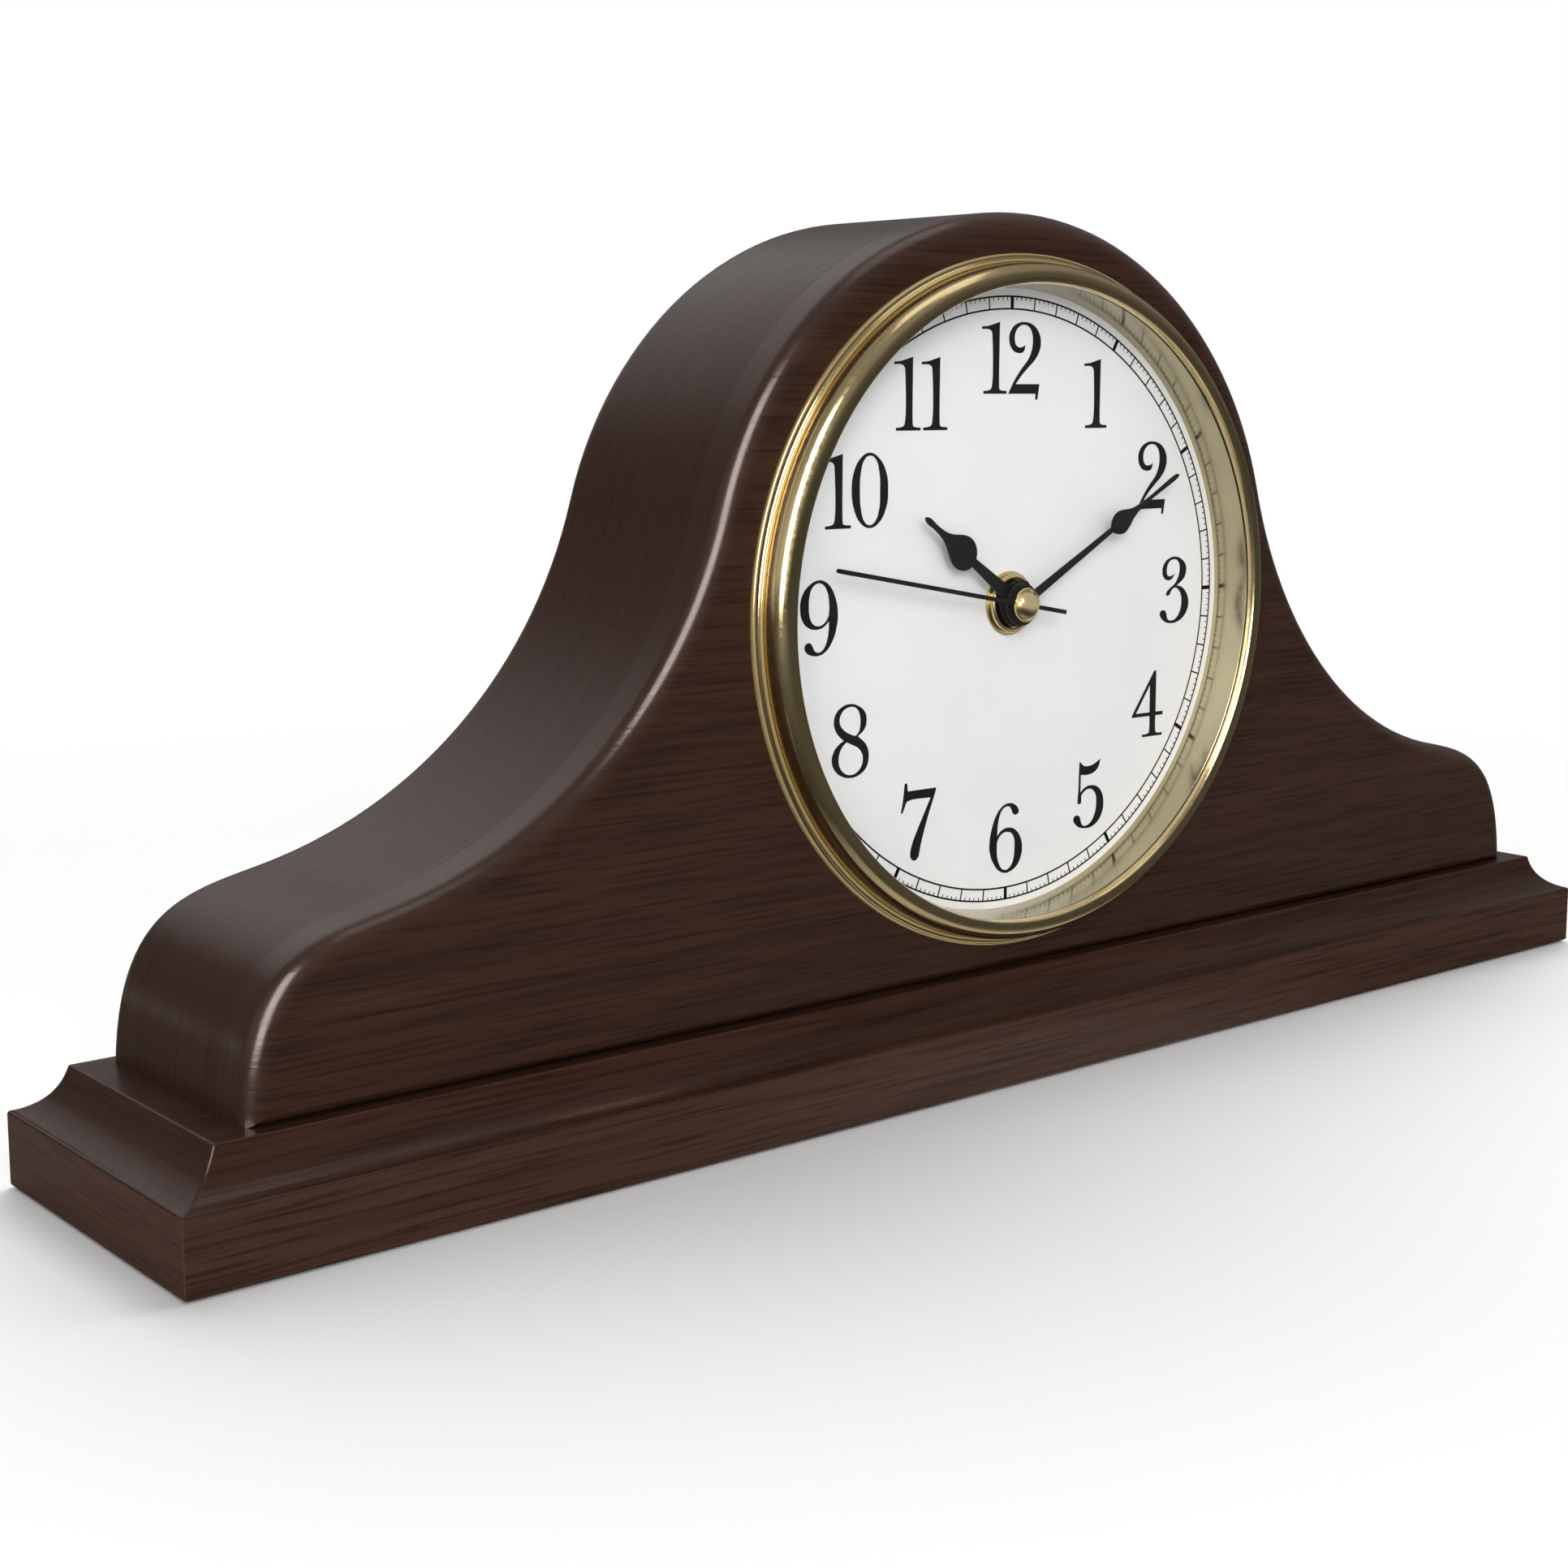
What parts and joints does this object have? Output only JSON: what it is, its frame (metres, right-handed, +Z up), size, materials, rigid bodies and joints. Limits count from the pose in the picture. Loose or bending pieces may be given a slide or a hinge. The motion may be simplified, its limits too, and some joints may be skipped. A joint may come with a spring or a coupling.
{
  "type": "mantel clock",
  "caption": "Tambour mantel clock: arched wooden case on a moulded plinth, round gold bezel, white dial, three black hands and a battery quartz movement.",
  "frame": {"origin": "centre of the footprint, on the surface that the felt pads stand on", "axes": "+X along the base to the right as seen from the front, +Y from the dial to the back, +Z up"},
  "size_m": [0.42, 0.0794, 0.1954],
  "materials": {
    "dark_wood": "satin gloss lacquer over dark brown stained wood, fine grain along the length",
    "raw_wood": "bare sawn wood",
    "back_board": "dark painted fibreboard, matte",
    "gold": "polished pale gold plating",
    "brass": "turned brass",
    "steel": "zinc plated steel",
    "white_enamel": "matte white with black numbers",
    "black_enamel": "satin black",
    "black_plastic": "moulded black plastic",
    "white_plastic": "moulded off-white plastic",
    "rubber": "matte black rubber",
    "felt": "dense dark felt",
    "clear_glass": "clear flat glass",
    "copper": "enamelled copper wire",
    "circuit_green": "solder mask",
    "cell_jacket": "plain printed jacket"
  },
  "bodies": {
    "case": {"base_plinth": "dark_wood", "felt_pad_1": "felt", "felt_pad_2": "felt", "felt_pad_3": "felt", "felt_pad_4": "felt", "base_screw_left_front": "steel", "base_screw_left_rear": "steel", "base_screw_right_front": "steel", "base_screw_right_rear": "steel", "case_front_board": "dark_wood", "case_hood": "dark_wood", "back_panel": "back_board", "back_screw_left_upper": "steel", "back_screw_left_lower": "steel", "back_screw_right_upper": "steel", "back_screw_right_lower": "steel", "back_post_left": "raw_wood", "back_post_right": "raw_wood", "corner_block_left": "raw_wood", "corner_block_right": "raw_wood", "bezel_ring": "gold", "lens_glass": "clear_glass", "reflector_ring": "gold", "dial_plate": "white_enamel", "bezel_retaining_ring": "black_plastic", "dial_washer": "gold", "dial_nut": "gold", "rubber_washer": "rubber", "movement_bush": "brass", "movement_front_shell": "white_plastic", "movement_rear_shell": "black_plastic", "stator_plate": "steel", "coil_core": "steel", "coil_bobbin": "white_plastic", "coil_winding": "copper", "circuit_board": "circuit_green", "quartz_crystal": "steel", "timer_chip": "black_plastic", "battery_contact_positive": "steel", "battery_contact_negative": "steel"},
    "minute_work": {"minute_hand": "black_enamel", "centre_wheel": "brass"},
    "hour_work": {"hour_hand": "black_enamel", "hour_wheel": "brass"},
    "second_work": {"second_hand": "black_enamel", "hand_cap": "gold", "second_wheel": "brass"},
    "third_work": {"third_wheel": "brass"},
    "intermediate_work": {"intermediate_wheel": "white_plastic"},
    "rotor_work": {"rotor": "black_plastic"},
    "motion_work": {"minute_wheel": "white_plastic"},
    "setting_work": {"setting_knob": "black_plastic"},
    "cell": {"battery": "cell_jacket"}
  },
  "joints": [
    {"name": "minute_hand_turn", "type": "hinge", "parent": "case", "child": "minute_work", "pos_m": [0, -0.0179, 0.1083], "axis": [0, 1, 0], "continuous": true},
    {"name": "hour_hand_turn", "type": "hinge", "parent": "case", "child": "hour_work", "pos_m": [0, -0.0204, 0.1083], "axis": [0, 1, 0], "continuous": true},
    {"name": "second_hand_turn", "type": "hinge", "parent": "case", "child": "second_work", "pos_m": [0, -0.0153, 0.1083], "axis": [0, 1, 0], "continuous": true},
    {"name": "third_wheel_turn", "type": "hinge", "parent": "case", "child": "third_work", "pos_m": [-0.00849, -0.0166, 0.1132], "axis": [0, 1, 0], "continuous": true},
    {"name": "intermediate_wheel_turn", "type": "hinge", "parent": "case", "child": "intermediate_work", "pos_m": [0.00789, -0.014, 0.11117], "axis": [0, 1, 0], "continuous": true},
    {"name": "rotor_turn", "type": "hinge", "parent": "case", "child": "rotor_work", "pos_m": [0.01498, -0.0116, 0.10992], "axis": [0, 1, 0], "continuous": true},
    {"name": "minute_wheel_turn", "type": "hinge", "parent": "case", "child": "motion_work", "pos_m": [0, -0.0192, 0.1163], "axis": [0, 1, 0], "continuous": true},
    {"name": "setting_knob_turn", "type": "hinge", "parent": "case", "child": "setting_work", "pos_m": [0.0042, -0.0038, 0.12357], "axis": [0, 1, 0], "continuous": true},
    {"name": "battery_slide", "type": "slide", "parent": "case", "child": "cell", "axis": [0, 1, 0], "range_m": [0, 0.06]}
  ],
  "couplings": [
    {"joint": "hour_hand_turn", "follows": "minute_hand_turn", "ratio": 0.083333},
    {"joint": "second_hand_turn", "follows": "minute_hand_turn", "ratio": 60},
    {"joint": "third_wheel_turn", "follows": "minute_hand_turn", "ratio": -8},
    {"joint": "intermediate_wheel_turn", "follows": "minute_hand_turn", "ratio": -360},
    {"joint": "rotor_turn", "follows": "minute_hand_turn", "ratio": 1800},
    {"joint": "minute_wheel_turn", "follows": "minute_hand_turn", "ratio": -0.33333},
    {"joint": "setting_knob_turn", "follows": "minute_hand_turn", "ratio": 0.83333}
  ]
}
